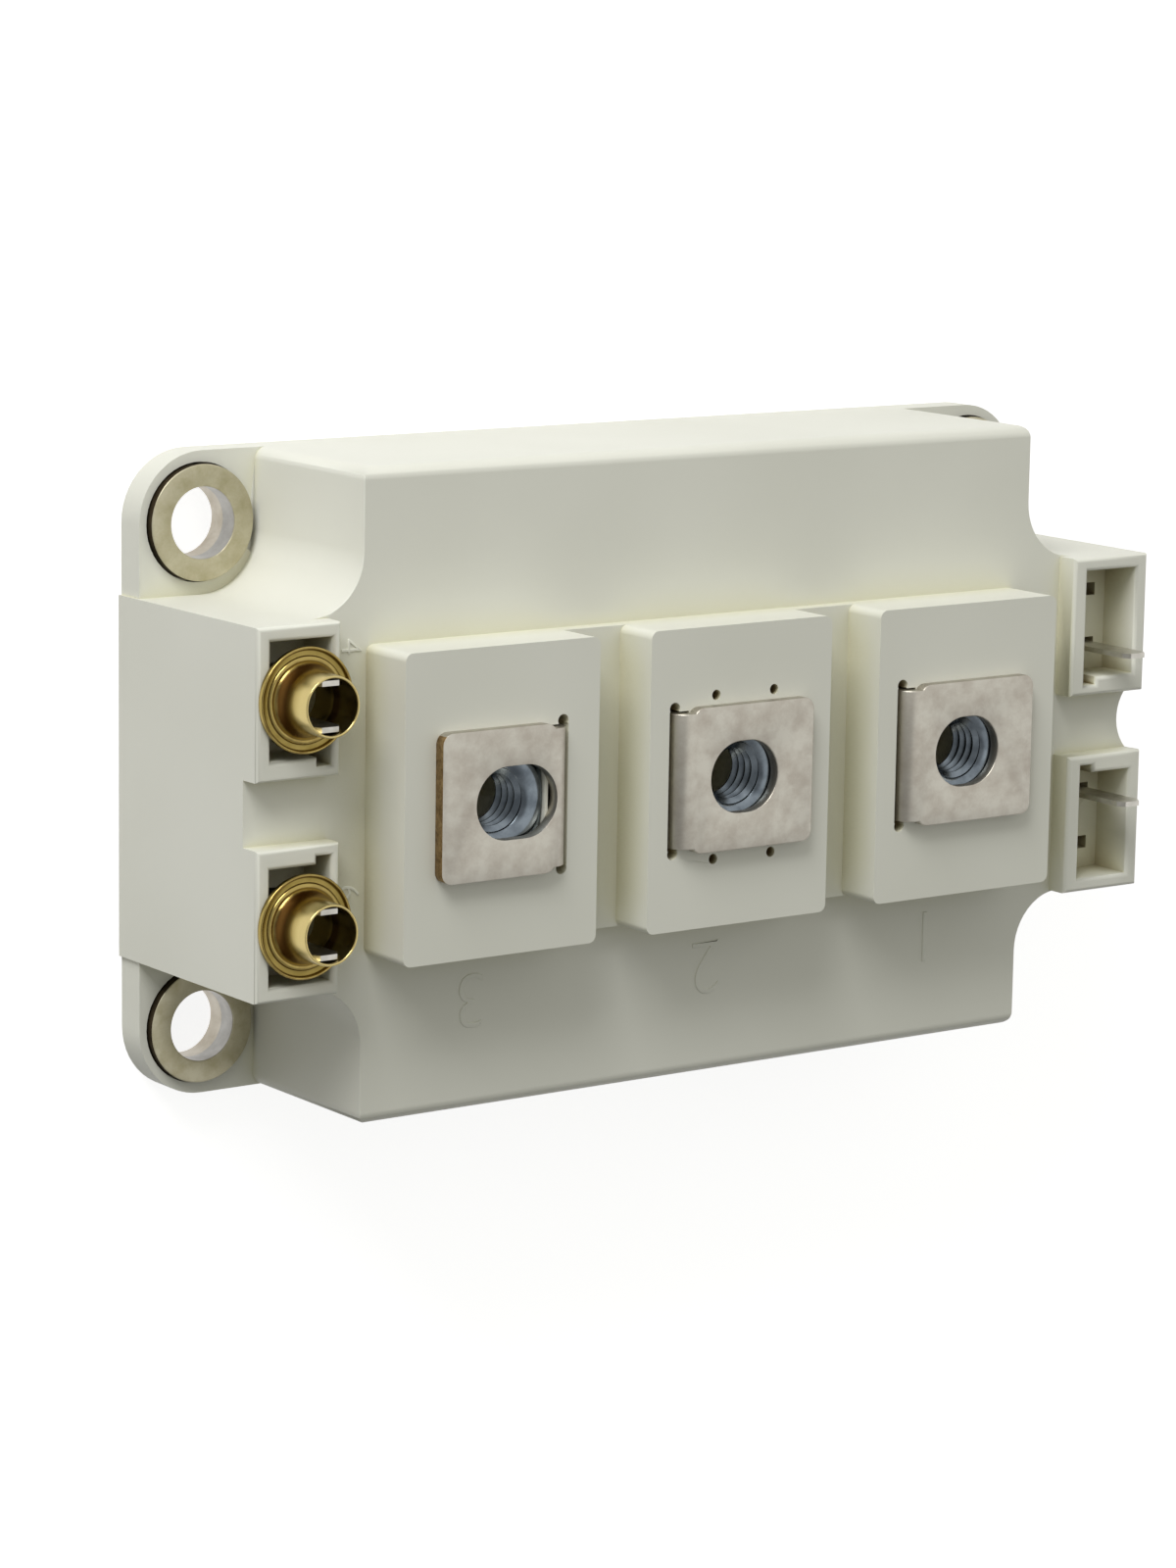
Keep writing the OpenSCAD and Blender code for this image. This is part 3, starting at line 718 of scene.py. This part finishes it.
def studio_floor():
    """White to the eye and in reflections, but for the module's shadow. To other light the paper
    is a grey that sends little light back up."""
    material = bpy.data.materials.new("white_paper_floor")
    material.use_nodes = True
    tree = material.node_tree
    tree.nodes.clear()
    path = add_node(tree, "ShaderNodeLightPath")
    seen = add_node(tree, "ShaderNodeMath", {0: path.outputs["Is Camera Ray"],
                                             1: path.outputs["Is Glossy Ray"]}, operation="MAXIMUM")
    seen = add_node(tree, "ShaderNodeMath", {0: seen.outputs["Value"],
                                             1: path.outputs["Is Transmission Ray"]}, operation="MAXIMUM")
    glow = add_node(tree, "ShaderNodeEmission", {"Color": linear("FFFFFF"), "Strength": PAPER_GLOW})
    shaded = add_node(tree, "ShaderNodeBsdfDiffuse", {"Color": linear("C0C0C0")})
    white_paper = add_node(tree, "ShaderNodeAddShader", {0: glow.outputs["Emission"],
                                                         1: shaded.outputs["BSDF"]})
    grey_paper = add_node(tree, "ShaderNodeBsdfDiffuse", {"Color": linear("B4B4B4")})
    paper = add_node(tree, "ShaderNodeMixShader", {0: seen.outputs["Value"],
                                                   1: grey_paper.outputs["BSDF"],
                                                   2: white_paper.outputs["Shader"]})
    add_node(tree, "ShaderNodeOutputMaterial", {"Surface": paper.outputs["Shader"]})
    return material


paper_sheet = bmesh.new()
bmesh.ops.create_grid(paper_sheet, x_segments=1, y_segments=1, size=FLOOR_SIZE / 2)
bmesh.ops.translate(paper_sheet, verts=paper_sheet.verts, vec=(0, 0, -FLOOR_GAP))
floor_mesh = bpy.data.meshes.new("floor")
paper_sheet.to_mesh(floor_mesh)
paper_sheet.free()
floor_mesh.materials.append(studio_floor())
floor = bpy.data.objects.new("floor", floor_mesh)
bpy.context.scene.collection.objects.link(floor)


# ---- Light ----
# One large soft lamp low on the side of the bare long wall, and light from all round that dims
# towards +Y. Metal reflects a white room that is darker towards +Y, with a grey screen low down
# past the +X end, which gives round metal its dark bands.

LAMP_TOWARDS = Vector((0.51, -0.79, 0.34))
LAMP_DISTANCE = 0.9
LAMP_SIZE = 0.45
LAMP_POWER = 5.4
LAMP_TARGET = Vector((0, 0, 0.012))
SKY_COLOUR = "FFFFF7"
SKY_BRIGHT = 0.58
SKY_DIM = 0.18
SKY_DIMS = (-0.7, 0.6)              # where that starts and ends, along Y
SCREEN_TOWARDS = Vector((0.93, -0.15, 0.33))
SCREEN_EDGE = (0.45, 0.75)          # its soft edge, as cosines of the angle from its middle
SCREEN_MIRROR = 0.4
MIRROR_DIM = 0.4
MIRROR_DIMS = (0.2, 0.8)

lamp = bpy.data.lights.new("key_light", "AREA")
lamp.shape = "SQUARE"
lamp.size = LAMP_SIZE
lamp.energy = LAMP_POWER
key_light = bpy.data.objects.new("key_light", lamp)
bpy.context.scene.collection.objects.link(key_light)
key_light.location = LAMP_TOWARDS * LAMP_DISTANCE
key_light.rotation_euler = (LAMP_TARGET - key_light.location).to_track_quat("-Z", "Y").to_euler()

world = bpy.data.worlds.new("studio")
bpy.context.scene.world = world
world.use_nodes = True
sky = world.node_tree
sky.nodes.clear()
direction = add_node(sky, "ShaderNodeTexCoord").outputs["Generated"]
along_y = add_node(sky, "ShaderNodeSeparateXYZ", {"Vector": direction}).outputs["Y"]
to_screen = add_node(sky, "ShaderNodeVectorMath", {0: direction, 1: SCREEN_TOWARDS},
                     operation="DOT_PRODUCT").outputs["Value"]
room = add_node(sky, "ShaderNodeMapRange",
                {"Value": along_y, "From Min": SKY_DIMS[0], "From Max": SKY_DIMS[1],
                 "To Min": SKY_BRIGHT, "To Max": SKY_DIM}, interpolation_type="SMOOTHSTEP")
screen = add_node(sky, "ShaderNodeMapRange",
                  {"Value": to_screen, "From Min": SCREEN_EDGE[0], "From Max": SCREEN_EDGE[1],
                   "To Min": 1.0, "To Max": SCREEN_MIRROR}, interpolation_type="SMOOTHSTEP")
far_side = add_node(sky, "ShaderNodeMapRange",
                    {"Value": along_y, "From Min": MIRROR_DIMS[0], "From Max": MIRROR_DIMS[1],
                     "To Min": 1.0, "To Max": MIRROR_DIM}, interpolation_type="SMOOTHSTEP")
mirrored = add_node(sky, "ShaderNodeMath", {0: screen.outputs["Result"], 1: far_side.outputs["Result"]},
                    operation="MULTIPLY")
room_light = add_node(sky, "ShaderNodeBackground",
                      {"Color": linear(SKY_COLOUR), "Strength": room.outputs["Result"]})
mirror_light = add_node(sky, "ShaderNodeBackground",
                        {"Color": linear("FFFFFF"), "Strength": mirrored.outputs["Value"]})
white = add_node(sky, "ShaderNodeBackground", {"Color": linear("FFFFFF"), "Strength": 1.0})
path = add_node(sky, "ShaderNodeLightPath")
seen = add_node(sky, "ShaderNodeMath", {0: path.outputs["Is Camera Ray"],
                                        1: path.outputs["Is Transmission Ray"]}, operation="MAXIMUM")
unseen = add_node(sky, "ShaderNodeMixShader", {0: path.outputs["Is Glossy Ray"],
                                               1: room_light.outputs["Background"],
                                               2: mirror_light.outputs["Background"]})
shown = add_node(sky, "ShaderNodeMixShader", {0: seen.outputs["Value"],
                                              1: unseen.outputs["Shader"],
                                              2: white.outputs["Background"]})
add_node(sky, "ShaderNodeOutputWorld", {"Surface": shown.outputs["Shader"]})


# ---- Camera ----
# A long lens at half a metre, over the +X end, so that the front sockets are nearest.

CAMERA_PLACE = (0.27504, -0.0802, 0.38344)
CAMERA_TURN = (-10.978, -35.580, -178.853)
CAMERA_LENS = 146.2
CAMERA_SENSOR = 36

optics = bpy.data.cameras.new("camera")
optics.sensor_fit = "HORIZONTAL"
optics.sensor_width = CAMERA_SENSOR
optics.lens = CAMERA_LENS
camera = bpy.data.objects.new("camera", optics)
bpy.context.scene.collection.objects.link(camera)
camera.location = CAMERA_PLACE
camera.rotation_euler = [math.radians(turn) for turn in CAMERA_TURN]
bpy.context.scene.camera = camera
bpy.context.scene.view_settings.view_transform = "Standard"
